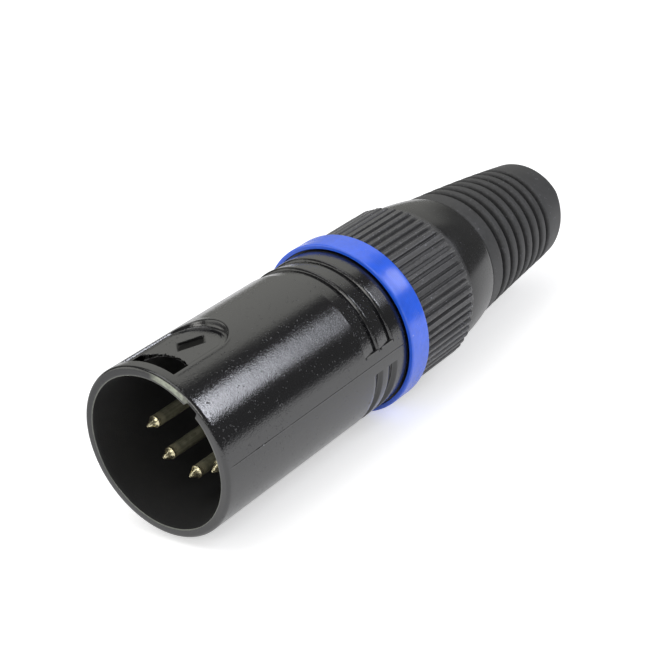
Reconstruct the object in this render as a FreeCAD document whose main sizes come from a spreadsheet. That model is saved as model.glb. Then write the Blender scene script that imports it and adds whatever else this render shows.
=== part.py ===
import FreeCAD, Part
import math
import os
import Sketcher

# Five-pole cable plug with latch window, coding ring, clamp nut and bend relief.
# Frame: +X runs along the plug's axis from the mouth to the cable, +Z goes up through the latch
# window, and the origin is the centre of the mouth. Lengths are in millimetres.

doc = FreeCAD.newDocument("CablePlug")

# Driving sizes

SIZES = {
    # shell
    "shell_radius": 9.5,
    "shell_length": 30.2,
    "mouth_wall": 1.2,
    "mouth_depth": 14.5,
    "mouth_chamfer": 0.5,
    "edge_break": 0.3,
    "lip_step": 0.7,
    "lip_length": 0.8,
    "shoulder_step": 1.2,
    "neck_wall": 1.1,
    "neck_length": 11.3,
    "neck_chamfer": 0.4,
    # latch field, window and plain mark on top of the shell
    "field_depth": 0.75,
    "field_width": 7.2,
    "field_front": 1.3,
    "field_length": 10.3,
    "window_length": 2.0,
    "window_width": 6.4,
    "mark_setback": 4.4,
    "mark_length": 2.6,
    "mark_width": 1.5,
    "mark_depth": 0.2,
    # key groove in the mouth
    "key_angle": 45.0,
    "key_width": 1.6,
    "key_wall": 0.4,
    "key_length": 11.0,
    # grip grooves in front of the shoulder
    "grip_setback": 5.8,
    "grip_pitch": 2.65,
    "grip_width": 1.25,
    "grip_depth": 0.75,
    "ramp_drop": 0.55,
    "ramp_length": 1.5,
    "grip_land": 0.25,
    "shelf_height": 1.5,
    "lower_shelf": 1.0,
    "lower_depth": 0.45,
    "lower_width": 1.1,
    # thread between neck and nut
    "thread_pitch": 1.25,
    "thread_depth": 0.35,
    "thread_clearance": 0.1,
    "flank_clearance": 0.08,
    "thread_run_in": 1.3,
    "thread_lead_in": 0.6,
    # contacts and their carrier
    "pin_inset": 3.54,
    "pin_radius": 0.7,
    "pin_setback": 4.0,
    "pin_cone_length": 1.05,
    "pin_shoulder_length": 0.25,
    "nib_radius": 0.13,
    "nib_length": 0.2,
    "pin_shoulder_drop": 0.08,
    "pin_fit": 0.02,
    "pin_step": 2.6,
    "pin_root_radius": 0.9,
    "pin_root_length": 0.2,
    "cup_radius": 1.0,
    "cup_length": 5.0,
    "cup_bore_radius": 0.7,
    "cup_bore_depth": 3.6,
    "cup_cut_height": 0.2,
    "cup_cut_length": 3.0,
    "insert_length": 8.7,
    "insert_fit": 0.05,
    "rail_thickness": 0.85,
    "rail_width": 4.0,
    "rail_engagement": 7.0,
    "rail_fit": 0.1,
    "strip_thickness": 0.3,
    "strip_width": 2.4,
    "strip_fit": 0.05,
    "strip_rise": 0.5,
    "strip_setback": 1.0,
    "strip_flat": 2.0,
    "hump_ramp": 1.0,
    "hump_length": 1.5,
    "tab_length": 3.5,
    "tab_hole_radius": 0.5,
    "tab_hole_setback": 1.2,
    # coding ring
    "ring_height": 0.7,
    "ring_width": 3.2,
    "ring_fit": 0.1,
    "ring_front_relief": 0.3,
    "ring_seat_height": 0.9,
    "ring_round": 0.3,
    # clamp nut
    "seat_gap": 0.1,
    "crest_height": 0.25,
    "flute_depth": 0.5,
    "flute_length": 9.7,
    "flute_top_width": 0.58,
    "flute_floor_width": 0.3,
    "nut_length": 16.2,
    "nut_chamfer": 0.3,
    "collar_drop": 0.1,
    "collar_taper": 0.9,
    "spigot_wall": 1.6,
    "spigot_length": 4.3,
    "thread_relief": 0.6,
    "passage_step": 0.2,
    # cable chuck
    "chuck_wall": 2.9,
    "chuck_clearance": 0.1,
    "chuck_setback": 3.8,
    "chuck_base": 4.0,
    "cone_setback": 0.8,
    "cone_length": 5.0,
    "cone_drop": 1.8,
    "cone_clearance": 0.05,
    "cone_end_gap": 0.3,
    "slit_width": 1.0,
    # bend relief
    "boot_length": 21.7,
    "boot_step": 0.05,
    "boot_end_wall": 2.15,
    "boot_round": 1.4,
    "boot_fit": 0.03,
    "groove_setback": 2.6,
    "groove_pitch": 2.05,
    "groove_width": 0.85,
    "groove_depth": 1.0,
}
PIN_COUNT = 5
PIN_STEP_ANGLE = 45.0
FLUTE_COUNT = 60
BOOT_GROOVES = 7
SLIT_COUNT = 2

sheet = doc.addObject("Spreadsheet::Sheet", "Sizes")
for row, (alias, value) in enumerate(SIZES.items(), start=1):
    sheet.set("A%d" % row, alias)
    sheet.set("B%d" % row, str(value))
    sheet.setAlias("B%d" % row, alias)
doc.recompute()


class Size:
    """A length that knows its value and the sheet expression that gives it."""

    def __init__(self, value, text):
        self.value = float(value)
        self.text = text

    def __add__(self, other):
        other = size(other)
        return Size(self.value + other.value, "(%s + %s)" % (self.text, other.text))

    def __radd__(self, other):
        return size(other) + self

    def __sub__(self, other):
        other = size(other)
        return Size(self.value - other.value, "(%s - %s)" % (self.text, other.text))

    def __rsub__(self, other):
        return size(other) - self

    def __mul__(self, other):
        other = size(other)
        return Size(self.value * other.value, "(%s * %s)" % (self.text, other.text))

    def __rmul__(self, other):
        return size(other) * self

    def __truediv__(self, other):
        other = size(other)
        return Size(self.value / other.value, "(%s / %s)" % (self.text, other.text))

    def __neg__(self):
        return 0 - self


def size(item):
    """A cell of the sheet by its alias, or a plain number, as a Size."""
    if isinstance(item, Size):
        return item
    if isinstance(item, str):
        return Size(sheet.get(item), "Sizes." + item)
    return Size(item, repr(float(item)))


def root(item):
    """Square root of a Size."""
    return Size(math.sqrt(item.value), "sqrt(%s)" % item.text)


def plane(body, role):
    """The body's own origin plane or axis with that role."""
    return next(item for item in body.Origin.OriginFeatures if item.Role == role)


def new_body(name):
    body = doc.addObject("PartDesign::Body", name)
    body.Label = name
    return body


def sketch_on(body, name, role, offset=None, turn=None):
    """An empty sketch on one of the body's planes, moved along and turned about its normal."""
    sketch = body.newObject("Sketcher::SketchObject", name)
    sketch.AttachmentSupport = [(plane(body, role), "")]
    sketch.MapMode = "FlatFace"
    if turn is not None:
        spin = FreeCAD.Rotation(FreeCAD.Vector(0, 0, 1), size(turn).value)
        sketch.AttachmentOffset = FreeCAD.Placement(FreeCAD.Vector(0, 0, 0), spin)
        sketch.setExpression("AttachmentOffset.Rotation.Angle", size(turn).text)
    if offset is not None:
        sketch.setExpression("AttachmentOffset.Base.z", size(offset).text)
    return sketch


def pin_point(sketch, geometry, end, across=None, up=None):
    """Holds one end of a sketch element at a distance from the origin along one or both axes."""
    for kind, item in (("DistanceX", across), ("DistanceY", up)):
        if item is not None:
            index = sketch.addConstraint(
                Sketcher.Constraint(kind, -1, 1, geometry, end, size(item).value))
            sketch.setExpression("Constraints[%d]" % index, size(item).text)


def outline(sketch, corners, arcs=None):
    """Closed outline through corners given as (across, up).

    arcs maps a corner's number to the centre of a clockwise arc that starts there. The corner
    where an arc ends is held in one direction only, so that the arc stays round: the one in
    which it lies closer to the centre.
    """
    arcs = arcs or {}
    corners = [(size(across), size(up)) for across, up in corners]
    arcs = {number: (size(across), size(up)) for number, (across, up) in arcs.items()}
    points = [FreeCAD.Vector(across.value, up.value, 0) for across, up in corners]
    ends = []
    for number, start in enumerate(points):
        stop = points[(number + 1) % len(points)]
        if number in arcs:
            centre = FreeCAD.Vector(arcs[number][0].value, arcs[number][1].value, 0)
            circle = Part.Circle(centre, FreeCAD.Vector(0, 0, 1), (start - centre).Length)
            first = math.atan2(stop.y - centre.y, stop.x - centre.x)
            last = math.atan2(start.y - centre.y, start.x - centre.x)
            geometry = sketch.addGeometry(Part.ArcOfCircle(circle, first, last), False)
            ends.append((geometry, 2, 1))
        else:
            geometry = sketch.addGeometry(Part.LineSegment(start, stop), False)
            ends.append((geometry, 1, 2))
    for number, (geometry, _, last_end) in enumerate(ends):
        following, first_end, _ = ends[(number + 1) % len(ends)]
        sketch.addConstraint(
            Sketcher.Constraint("Coincident", geometry, last_end, following, first_end))
    for number, (across, up) in enumerate(corners):
        geometry, first_end, _ = ends[number]
        arc_before = arcs.get((number - 1) % len(corners))
        if arc_before:
            offset_across = abs(across.value - arc_before[0].value)
            offset_up = abs(up.value - arc_before[1].value)
            across, up = (across, None) if offset_across < offset_up else (None, up)
        pin_point(sketch, geometry, first_end, across, up)
    for number, (across, up) in arcs.items():
        pin_point(sketch, ends[number][0], 3, across, up)


def circle_at(sketch, across, up, radius):
    """A circle with its centre and radius bound to the sheet."""
    middle = FreeCAD.Vector(size(across).value, size(up).value, 0)
    circle = Part.Circle(middle, FreeCAD.Vector(0, 0, 1), size(radius).value)
    geometry = sketch.addGeometry(circle, False)
    pin_point(sketch, geometry, 3, across, up)
    index = sketch.addConstraint(Sketcher.Constraint("Radius", geometry, size(radius).value))
    sketch.setExpression("Constraints[%d]" % index, size(radius).text)


def revolve(body, name, corners, arcs=None):
    """A solid of revolution about the plug's axis from an outline given as (along, radius)."""
    sketch = sketch_on(body, name + "Outline", "XY_Plane")
    outline(sketch, corners, arcs)
    turned = body.newObject("PartDesign::Revolution", name)
    turned.Profile = sketch
    turned.ReferenceAxis = (sketch, ["H_Axis"])
    turned.Angle = 360
    doc.recompute()
    return turned


def pocket(body, name, sketch, depth, along_normal=False):
    """Cuts the sketch into the body, against its normal or along it, and checks that it cut."""
    doc.recompute()
    before = body.Shape.Volume
    cut = body.newObject("PartDesign::Pocket", name)
    cut.Profile = sketch
    cut.Reversed = along_normal
    cut.setExpression("Length", size(depth).text)
    doc.recompute()
    if not body.Shape.Volume < before - 1e-6:
        raise RuntimeError(name + " cuts nothing")
    return cut


def polar(body, name, features, angle, count):
    """Repeats features about the plug's axis and makes the pattern the body's tip."""
    pattern = body.newObject("PartDesign::PolarPattern", name)
    pattern.Originals = features
    pattern.Axis = (plane(body, "X_Axis"), [""])
    pattern.Angle = angle
    pattern.Occurrences = count
    body.Tip = pattern
    doc.recompute()
    return pattern


def helix_groove(body, name, start, radius_inner, radius_outer, width_inner, width_outer, length):
    """A right-hand thread groove: a four-cornered section carried along a helix about the axis."""
    half_inner = size(width_inner) / 2
    half_outer = size(width_outer) / 2
    sketch = sketch_on(body, name + "Section", "XY_Plane")
    outline(sketch, [
        (start - half_inner, radius_inner),
        (start - half_outer, radius_outer),
        (start + half_outer, radius_outer),
        (start + half_inner, radius_inner),
    ])
    doc.recompute()
    before = body.Shape.Volume
    groove = body.newObject("PartDesign::SubtractiveHelix", name)
    groove.Profile = sketch
    groove.ReferenceAxis = (sketch, ["H_Axis"])
    groove.Mode = 0
    groove.setExpression("Pitch", size("thread_pitch").text)
    groove.setExpression("Height", size(length).text)
    groove.LeftHanded = False
    doc.recompute()
    if not body.Shape.Volume < before - 1e-6:
        raise RuntimeError(name + " cuts nothing")
    return groove


def box_between(name, low, high):
    """A box from its low corner to its high corner."""
    item = doc.addObject("Part::Box", name)
    for axis, edge, first, last in zip("xyz", ("Length", "Width", "Height"), low, high):
        item.setExpression("Placement.Base." + axis, size(first).text)
        item.setExpression(edge, (size(last) - size(first)).text)
    return item


def combine(kind, name, base, tool):
    """A cut or common part of two shapes."""
    result = doc.addObject(kind, name)
    result.Base, result.Tool = base, tool
    return result


# Radii and stations worked out from the driving sizes

MARGIN = 2.0
shell_radius = size("shell_radius")
shoulder = size("shell_length")
mouth_radius = shell_radius - size("mouth_wall")
neck_radius = shell_radius - size("shoulder_step")
neck_bore = neck_radius - size("neck_wall")
neck_end = shoulder + size("neck_length")
lip_radius = neck_bore - size("lip_step")
lip_rear = size("mouth_depth") + size("lip_length")
insert_rear = lip_rear + size("insert_length")
ring_rear = shoulder + size("ring_width")
nut_front = ring_rear + size("seat_gap")
flute_end = nut_front + size("flute_length")
nut_rear = nut_front + size("nut_length")
spigot_end = nut_rear + size("spigot_length")
chuck_front = shoulder + size("chuck_setback")
cone_front = neck_end + size("cone_setback")
cone_rear = cone_front + size("cone_length")
rail_end = chuck_front + size("rail_engagement")
crest_radius = shell_radius + size("crest_height")
chuck_radius = neck_bore - size("chuck_clearance")
cable_way = chuck_radius - size("chuck_wall")

# Shell: tube with mouth, stop lip, shoulder and neck

shell_blank = new_body("shell_blank")
revolve(shell_blank, "ShellWall", [
    (0, mouth_radius + size("mouth_chamfer")),
    (0, shell_radius - size("edge_break")),
    (size("edge_break"), shell_radius),
    (shoulder - size("edge_break"), shell_radius),
    (shoulder, shell_radius - size("edge_break")),
    (shoulder, neck_radius),
    (neck_end - size("neck_chamfer"), neck_radius),
    (neck_end, neck_radius - size("neck_chamfer")),
    (neck_end, neck_bore),
    (lip_rear, neck_bore),
    (lip_rear, lip_radius),
    (size("mouth_depth"), lip_radius),
    (size("mouth_depth"), mouth_radius),
    (size("mouth_chamfer"), mouth_radius),
])

# Flat latch field on top of the shell, round at its rear end
field_floor = shell_radius - size("field_depth")
field_front = size("field_front")
field_half = size("field_width") / 2
field_middle = field_front + size("field_length") - field_half
field_sketch = sketch_on(shell_blank, "LatchFieldOutline", "XY_Plane", field_floor)
outline(field_sketch, [
    (field_front, -field_half),
    (field_front, field_half),
    (field_middle, field_half),
    (field_middle, -field_half),
], {2: (field_middle, 0)})
pocket(shell_blank, "LatchField", field_sketch, size("field_depth") + MARGIN, along_normal=True)

# Window through the wall at the front of the field
window_half = size("window_width") / 2
window_rear = field_front + size("window_length")
window_sketch = sketch_on(shell_blank, "WindowOutline", "XY_Plane", shell_radius)
outline(window_sketch, [
    (field_front, -window_half),
    (field_front, window_half),
    (window_rear, window_half),
    (window_rear, -window_half),
])
pocket(shell_blank, "Window", window_sketch, size("mouth_wall") + MARGIN)

# Plain shallow mark behind the window
mark_half = size("mark_width") / 2
mark_front = field_front + size("mark_setback")
mark_sketch = sketch_on(shell_blank, "MarkOutline", "XY_Plane", field_floor)
outline(mark_sketch, [
    (mark_front + mark_half, -mark_half),
    (mark_front + mark_half, mark_half),
    (mark_front + size("mark_length") - mark_half, mark_half),
    (mark_front + size("mark_length") - mark_half, -mark_half),
], {0: (mark_front + mark_half, 0), 2: (mark_front + size("mark_length") - mark_half, 0)})
pocket(shell_blank, "Mark", mark_sketch, size("mark_depth"))

# Key groove along the bore of the mouth
key_half = size("key_width") / 2
key_sketch = sketch_on(shell_blank, "KeyGrooveOutline", "YZ_Plane", turn="key_angle")
outline(key_sketch, [
    (-key_half, mouth_radius - MARGIN),
    (-key_half, shell_radius - size("key_wall")),
    (key_half, shell_radius - size("key_wall")),
    (key_half, mouth_radius - MARGIN),
])
pocket(shell_blank, "KeyGroove", key_sketch, size("key_length"), along_normal=True)

# Grip in front of the shoulder: two ramps that fall into grooves on the upper side, two plain
# grooves on the lower side, each group ending on a level shelf
grip_front = shoulder - size("grip_setback")
grip_rear = grip_front + size("grip_pitch")
outside = shell_radius + MARGIN
just_outside = shell_radius + MARGIN / 2

upper_cutter = new_body("upper_grip_cutter")
ramp_floor = shell_radius - size("ramp_drop")
grip_floor = shell_radius - size("grip_depth")
second_ramp = grip_front + size("grip_width") + size("grip_land")
revolve(upper_cutter, "UpperGripRing", [
    (grip_front - size("ramp_length"), outside),
    (grip_front - size("ramp_length"), shell_radius),
    (grip_front, ramp_floor),
    (grip_front, grip_floor),
    (grip_front + size("grip_width"), grip_floor),
    (grip_front + size("grip_width"), just_outside),
    (second_ramp, just_outside),
    (second_ramp, shell_radius),
    (grip_rear, ramp_floor),
    (grip_rear, grip_floor),
    (grip_rear + size("grip_width"), grip_floor),
    (grip_rear + size("grip_width"), outside),
])
above_shelf = box_between(
    "AboveShelf",
    (0, -outside - MARGIN, size("shelf_height")),
    (shoulder, outside + MARGIN, outside + MARGIN))
upper_grip = combine("Part::Common", "UpperGrip", upper_cutter, above_shelf)

lower_cutter = new_body("lower_grip_cutter")
lower_floor = shell_radius - size("lower_depth")
revolve(lower_cutter, "LowerGripRing", [
    (grip_front, outside),
    (grip_front, lower_floor),
    (grip_front + size("lower_width"), lower_floor),
    (grip_front + size("lower_width"), just_outside),
    (grip_rear, just_outside),
    (grip_rear, lower_floor),
    (grip_rear + size("lower_width"), lower_floor),
    (grip_rear + size("lower_width"), outside),
])
below_shelf = box_between(
    "BelowShelf",
    (0, -outside - MARGIN, -outside - MARGIN),
    (shoulder, outside + MARGIN, -size("lower_shelf")))
lower_grip = combine("Part::Common", "LowerGrip", lower_cutter, below_shelf)

# Thread on the neck: the groove starts behind the ring and runs out at the neck's end
FLANK_SPREAD = 2 * math.tan(math.radians(30))
thread_start = nut_front + size("thread_run_in")
neck_root = neck_radius - size("thread_depth")
neck_root_width = size("thread_pitch") / 4
neck_cut_radius = neck_radius + size("thread_clearance")
helix_groove(
    shell_blank, "NeckThread", thread_start, neck_root, neck_cut_radius, neck_root_width,
    neck_root_width + (neck_cut_radius - neck_root) * FLANK_SPREAD,
    neck_end - thread_start + size("thread_pitch"))

upper_done = combine("Part::Cut", "ShellWithUpperGrip", shell_blank, upper_grip)
shell = combine("Part::Cut", "shell", upper_done, lower_grip)

# Coding ring clipped on the neck, against the shoulder

coding_ring = new_body("coding_ring")
ring_bore = neck_radius + size("ring_fit")
ring_radius = shell_radius + size("ring_height")
ring_round = size("ring_round")
ring_face = shoulder + size("ring_front_relief")
ring_seat = ring_bore + size("ring_seat_height")
revolve(coding_ring, "RingSection", [
    (shoulder, ring_bore),
    (shoulder, ring_seat),
    (ring_face, ring_seat),
    (ring_face, ring_radius - ring_round),
    (ring_face + ring_round, ring_radius),
    (ring_rear - ring_round, ring_radius),
    (ring_rear, ring_radius - ring_round),
    (ring_rear, ring_bore),
], {
    3: (ring_face + ring_round, ring_radius - ring_round),
    5: (ring_rear - ring_round, ring_radius - ring_round),
})

# Carrier of the contacts: stepped disc with two guide rails for the chuck

contact_insert = new_body("contact_insert")
insert_radius = neck_bore - size("insert_fit")
rail_inner = insert_radius - size("rail_thickness")
revolve(contact_insert, "InsertSection", [
    (size("mouth_depth"), 0),
    (size("mouth_depth"), lip_radius - size("insert_fit")),
    (lip_rear, lip_radius - size("insert_fit")),
    (lip_rear, insert_radius),
    (rail_end, insert_radius),
    (rail_end, rail_inner),
    (insert_rear, rail_inner),
    (insert_rear, 0),
])
rail_half = size("rail_width") / 2
for side, name in ((1, "Upper"), (-1, "Lower")):
    between = sketch_on(contact_insert, name + "GapOutline", "YZ_Plane", insert_rear)
    outline(between, [
        (-outside, rail_half * side),
        (-outside, outside * side),
        (outside, outside * side),
        (outside, rail_half * side),
    ])
    pocket(contact_insert, name + "Gap", between, rail_end - insert_rear + MARGIN, along_normal=True)

# Stepped holes for the contacts on the lower half circle
pin_circle = mouth_radius - size("pin_inset")
pin_step = size("mouth_depth") + size("pin_step")
shaft_sketch = sketch_on(contact_insert, "ShaftHoleOutline", "YZ_Plane", insert_rear)
circle_at(shaft_sketch, -pin_circle, 0, size("pin_root_radius") + size("pin_fit"))
shaft_hole = pocket(
    contact_insert, "ShaftHole", shaft_sketch, insert_rear - size("mouth_depth") + MARGIN)
cup_sketch = sketch_on(contact_insert, "CupHoleOutline", "YZ_Plane", insert_rear)
circle_at(cup_sketch, -pin_circle, 0, size("cup_radius") + size("pin_fit"))
cup_hole = pocket(contact_insert, "CupHole", cup_sketch, insert_rear - pin_step)
pin_arc = PIN_STEP_ANGLE * (PIN_COUNT - 1)
polar(contact_insert, "ContactHoles", [shaft_hole, cup_hole], pin_arc, PIN_COUNT)

# Slot on top for the ground strip
strip_half = size("strip_width") / 2
strip_crest = root(neck_bore * neck_bore - strip_half * strip_half) - size("strip_fit")
strip_top = strip_crest - size("strip_rise")
strip_bottom = strip_top - size("strip_thickness")
strip_front = lip_rear + size("strip_setback")
slot_half = strip_half + size("strip_fit")
slot_sketch = sketch_on(contact_insert, "StripSlotOutline", "XY_Plane", strip_bottom)
outline(slot_sketch, [
    (strip_front, -slot_half),
    (strip_front, slot_half),
    (insert_rear + MARGIN, slot_half),
    (insert_rear + MARGIN, -slot_half),
])
pocket(contact_insert, "StripSlot", slot_sketch, insert_radius, along_normal=True)

# Ground strip: flat spring with a hump against the shell's bore and a solder tab

ground_contact = new_body("ground_contact")
strip_sketch = sketch_on(ground_contact, "StripSection", "XZ_Plane", -strip_half)
hump_start = strip_front + size("strip_flat")
crest_start = hump_start + size("hump_ramp")
crest_end = crest_start + size("hump_length")
hump_end = crest_end + size("hump_ramp")
tab_end = insert_rear + size("tab_length")
upper_line = [
    (strip_front, strip_top),
    (hump_start, strip_top),
    (crest_start, strip_crest),
    (crest_end, strip_crest),
    (hump_end, strip_top),
    (tab_end, strip_top),
]
lower_line = [(along, up - size("strip_thickness")) for along, up in reversed(upper_line)]
outline(strip_sketch, upper_line + lower_line)
strip = ground_contact.newObject("PartDesign::Pad", "Strip")
strip.Profile = strip_sketch
strip.setExpression("Length", size("strip_width").text)
tab_sketch = sketch_on(ground_contact, "TabHoleOutline", "XY_Plane", strip_top)
circle_at(tab_sketch, tab_end - size("tab_hole_setback"), 0, size("tab_hole_radius"))
pocket(ground_contact, "TabHole", tab_sketch, size("strip_thickness") * 2)

# Contacts: turned pins with a pointed tip, a collar in the carrier and an open solder cup

cup_end = insert_rear + size("cup_length")
pin_front = size("pin_setback")
pin_radius = size("pin_radius")
cone_end = pin_front + size("pin_cone_length")
root_front = size("mouth_depth") - size("pin_root_length")
contact_pins = []
for number in range(PIN_COUNT):
    pin = new_body("contact_pin_%d" % (number + 1))
    revolve(pin, "PinSection", [
        (pin_front, 0),
        (pin_front, size("nib_radius")),
        (pin_front + size("nib_length"), size("nib_radius")),
        (cone_end, pin_radius - size("pin_shoulder_drop")),
        (cone_end + size("pin_shoulder_length"), pin_radius),
        (root_front, pin_radius),
        (root_front, size("pin_root_radius")),
        (pin_step, size("pin_root_radius")),
        (pin_step, size("cup_radius")),
        (cup_end, size("cup_radius")),
        (cup_end, size("cup_bore_radius")),
        (cup_end - size("cup_bore_depth"), size("cup_bore_radius")),
        (cup_end - size("cup_bore_depth"), 0),
    ])
    opening = sketch_on(pin, "CupOpeningOutline", "XY_Plane", "cup_cut_height")
    outline(opening, [
        (cup_end - size("cup_cut_length"), -size("cup_radius") - MARGIN),
        (cup_end - size("cup_cut_length"), size("cup_radius") + MARGIN),
        (cup_end + MARGIN, size("cup_radius") + MARGIN),
        (cup_end + MARGIN, -size("cup_radius") - MARGIN),
    ])
    pocket(pin, "CupOpening", opening, size("cup_radius") * 2, along_normal=True)
    angle = 90 + PIN_STEP_ANGLE * number
    pin.Placement = FreeCAD.Placement(
        FreeCAD.Vector(0, 0, 0), FreeCAD.Rotation(FreeCAD.Vector(1, 0, 0), angle))
    pin.setExpression("Placement.Base.y", (-pin_circle * math.sin(math.radians(angle))).text)
    pin.setExpression("Placement.Base.z", (pin_circle * math.cos(math.radians(angle))).text)
    contact_pins.append(pin)

# Cable chuck: sliding sleeve with a slit cone, held from turning by the carrier's rails

cable_chuck = new_body("cable_chuck")
revolve(cable_chuck, "ChuckSection", [
    (chuck_front, cable_way),
    (chuck_front, chuck_radius),
    (cone_front, chuck_radius),
    (cone_rear, chuck_radius - size("cone_drop")),
    (cone_rear, cable_way),
])
slit_sketch = sketch_on(cable_chuck, "SlitOutline", "YZ_Plane", chuck_front + size("chuck_base"), 45)
slit_half = size("slit_width") / 2
outline(slit_sketch, [
    (-slit_half, -outside),
    (-slit_half, outside),
    (slit_half, outside),
    (slit_half, -outside),
])
slit = pocket(cable_chuck, "Slit", slit_sketch, cone_rear - chuck_front, along_normal=True)
polar(cable_chuck, "Slits", [slit], 90, SLIT_COUNT)
notch_half = rail_half + size("rail_fit")
notch_floor = root(rail_inner * rail_inner - rail_half * rail_half) - size("rail_fit")
for side, name in ((1, "Left"), (-1, "Right")):
    notch_sketch = sketch_on(cable_chuck, name + "NotchOutline", "YZ_Plane", chuck_front)
    outline(notch_sketch, [
        (notch_floor * side, -notch_half),
        (outside * side, -notch_half),
        (outside * side, notch_half),
        (notch_floor * side, notch_half),
    ])
    pocket(
        cable_chuck, name + "Notch", notch_sketch,
        size("rail_engagement") + size("rail_fit") * 2, along_normal=True)

# Clamp nut: fluted grip, smooth tapered collar, spigot for the bend relief, cone for the chuck

clamp_nut = new_body("clamp_nut")
thread_bore = neck_radius - size("thread_depth") + size("thread_clearance")
thread_outer = neck_radius + size("thread_clearance")
thread_begin = thread_start + size("thread_lead_in")
thread_end = neck_end + size("thread_relief")
cone_play = size("cone_clearance")
cone_exit = cone_rear + size("cone_end_gap")
cone_slope = size("cone_drop") / size("cone_length")
nut_passage = cable_way + size("passage_step")
spigot_radius = nut_passage + size("spigot_wall")
collar_front = crest_radius - size("flute_depth") - size("collar_drop")
collar_rear = collar_front - size("collar_taper")
revolve(clamp_nut, "NutSection", [
    (nut_front, thread_outer),
    (nut_front, crest_radius - size("nut_chamfer")),
    (nut_front + size("nut_chamfer"), crest_radius),
    (flute_end, crest_radius),
    (flute_end, collar_front),
    (nut_rear, collar_rear),
    (nut_rear, spigot_radius),
    (spigot_end, spigot_radius),
    (spigot_end, nut_passage),
    (cone_exit, nut_passage),
    (cone_exit, chuck_radius + cone_play - cone_slope * (cone_exit - cone_front)),
    (cone_front, chuck_radius + cone_play),
    (thread_end, chuck_radius + cone_play),
    (thread_end, thread_outer),
    (neck_end - size("neck_chamfer"), thread_outer),
    (neck_end - size("neck_chamfer"), thread_bore),
    (thread_begin, thread_bore),
    (thread_begin, thread_outer),
])

# Thread in the nut: its ridge fills the groove of the neck with some play on the flanks
flank_play = size("flank_clearance") * 2
ridge_tip_width = neck_root_width + size("thread_clearance") * FLANK_SPREAD - flank_play
nut_cut_radius = thread_bore - size("thread_clearance")
nut_cut_width = size("thread_pitch") - ridge_tip_width + size("thread_clearance") * FLANK_SPREAD
nut_root_width = nut_cut_width - (thread_outer - nut_cut_radius) * FLANK_SPREAD
helix_groove(
    clamp_nut, "NutThread", thread_start - size("thread_pitch") / 2, nut_cut_radius, thread_outer,
    nut_cut_width, nut_root_width, neck_end - thread_start + size("thread_pitch") / 2)

# Flutes around the front of the nut
flute_sketch = sketch_on(clamp_nut, "FluteOutline", "YZ_Plane", nut_front)
flute_top = size("flute_top_width") / 2
flute_floor = size("flute_floor_width") / 2
flute_spread = (flute_top - flute_floor) / size("flute_depth")
flute_reach = crest_radius + size("nut_chamfer")
outline(flute_sketch, [
    (-flute_floor, crest_radius - size("flute_depth")),
    (-flute_top - flute_spread * size("nut_chamfer"), flute_reach),
    (flute_top + flute_spread * size("nut_chamfer"), flute_reach),
    (flute_floor, crest_radius - size("flute_depth")),
])
flute = pocket(clamp_nut, "Flute", flute_sketch, size("flute_length"), along_normal=True)
polar(clamp_nut, "Flutes", [flute], 360, FLUTE_COUNT)

# Bend relief: tapered rubber boot on the spigot, with ring grooves and a round end

bend_relief_boot = new_body("bend_relief_boot")
boot_front_radius = collar_rear - size("boot_step")
boot_rear_radius = cable_way + size("boot_end_wall")
boot_round = size("boot_round")
boot_end = nut_rear + size("boot_length")
round_start = boot_end - boot_round
round_centre = boot_rear_radius - boot_round
boot_slope = (boot_front_radius - boot_rear_radius) / (round_start - nut_rear)


def boot_radius(along):
    """Outer radius of the tapered boot at a station along the axis."""
    return boot_front_radius - boot_slope * (along - nut_rear)


boot_corners = [
    (nut_rear, spigot_radius + size("boot_fit")),
    (nut_rear, boot_front_radius),
]
for number in range(BOOT_GROOVES):
    front_edge = nut_rear + size("groove_setback") + size("groove_pitch") * number
    rear_edge = front_edge + size("groove_width")
    boot_corners += [
        (front_edge, boot_radius(front_edge)),
        (front_edge, boot_radius(front_edge) - size("groove_depth")),
        (rear_edge, boot_radius(rear_edge) - size("groove_depth")),
        (rear_edge, boot_radius(rear_edge)),
    ]
round_corner = len(boot_corners)
boot_corners += [
    (round_start, boot_rear_radius),
    (boot_end, round_centre),
    (boot_end, cable_way),
    (spigot_end, cable_way),
    (spigot_end, spigot_radius + size("boot_fit")),
]
revolve(bend_relief_boot, "BootSection", boot_corners, {round_corner: (round_start, round_centre)})

# Every piece is checked and written to its own file

doc.recompute()
for item in doc.Objects:
    if "Invalid" in item.State or "Error" in item.State:
        raise RuntimeError("%s did not compute: %s" % (item.Label, item.State))
pieces = [shell, coding_ring, clamp_nut, bend_relief_boot, cable_chuck, contact_insert,
          ground_contact] + contact_pins
os.makedirs("parts", exist_ok=True)
for piece in pieces:
    shape = piece.Shape
    if shape.isNull() or not shape.isValid() or len(shape.Solids) != 1:
        raise RuntimeError(piece.Label + " is not one sound solid")
    shape.exportStep("parts/%s.step" % piece.Label)
    print("%-18s %10.2f mm3" % (piece.Label, shape.Volume))
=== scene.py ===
"""Looks of a five-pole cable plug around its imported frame.

The lacquered shell, the coding ring, the clamp nut, the bend relief and the contacts are surfaces
worked out with numpy. The pieces inside keep their own meshes and get moulded or plated finishes.
Shape functions work in millimetres. Settings, finishes and the stage are in metres.
"""
import math
from functools import partialmethod

import bpy
import numpy as np
from mathutils import Matrix, Vector


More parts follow.
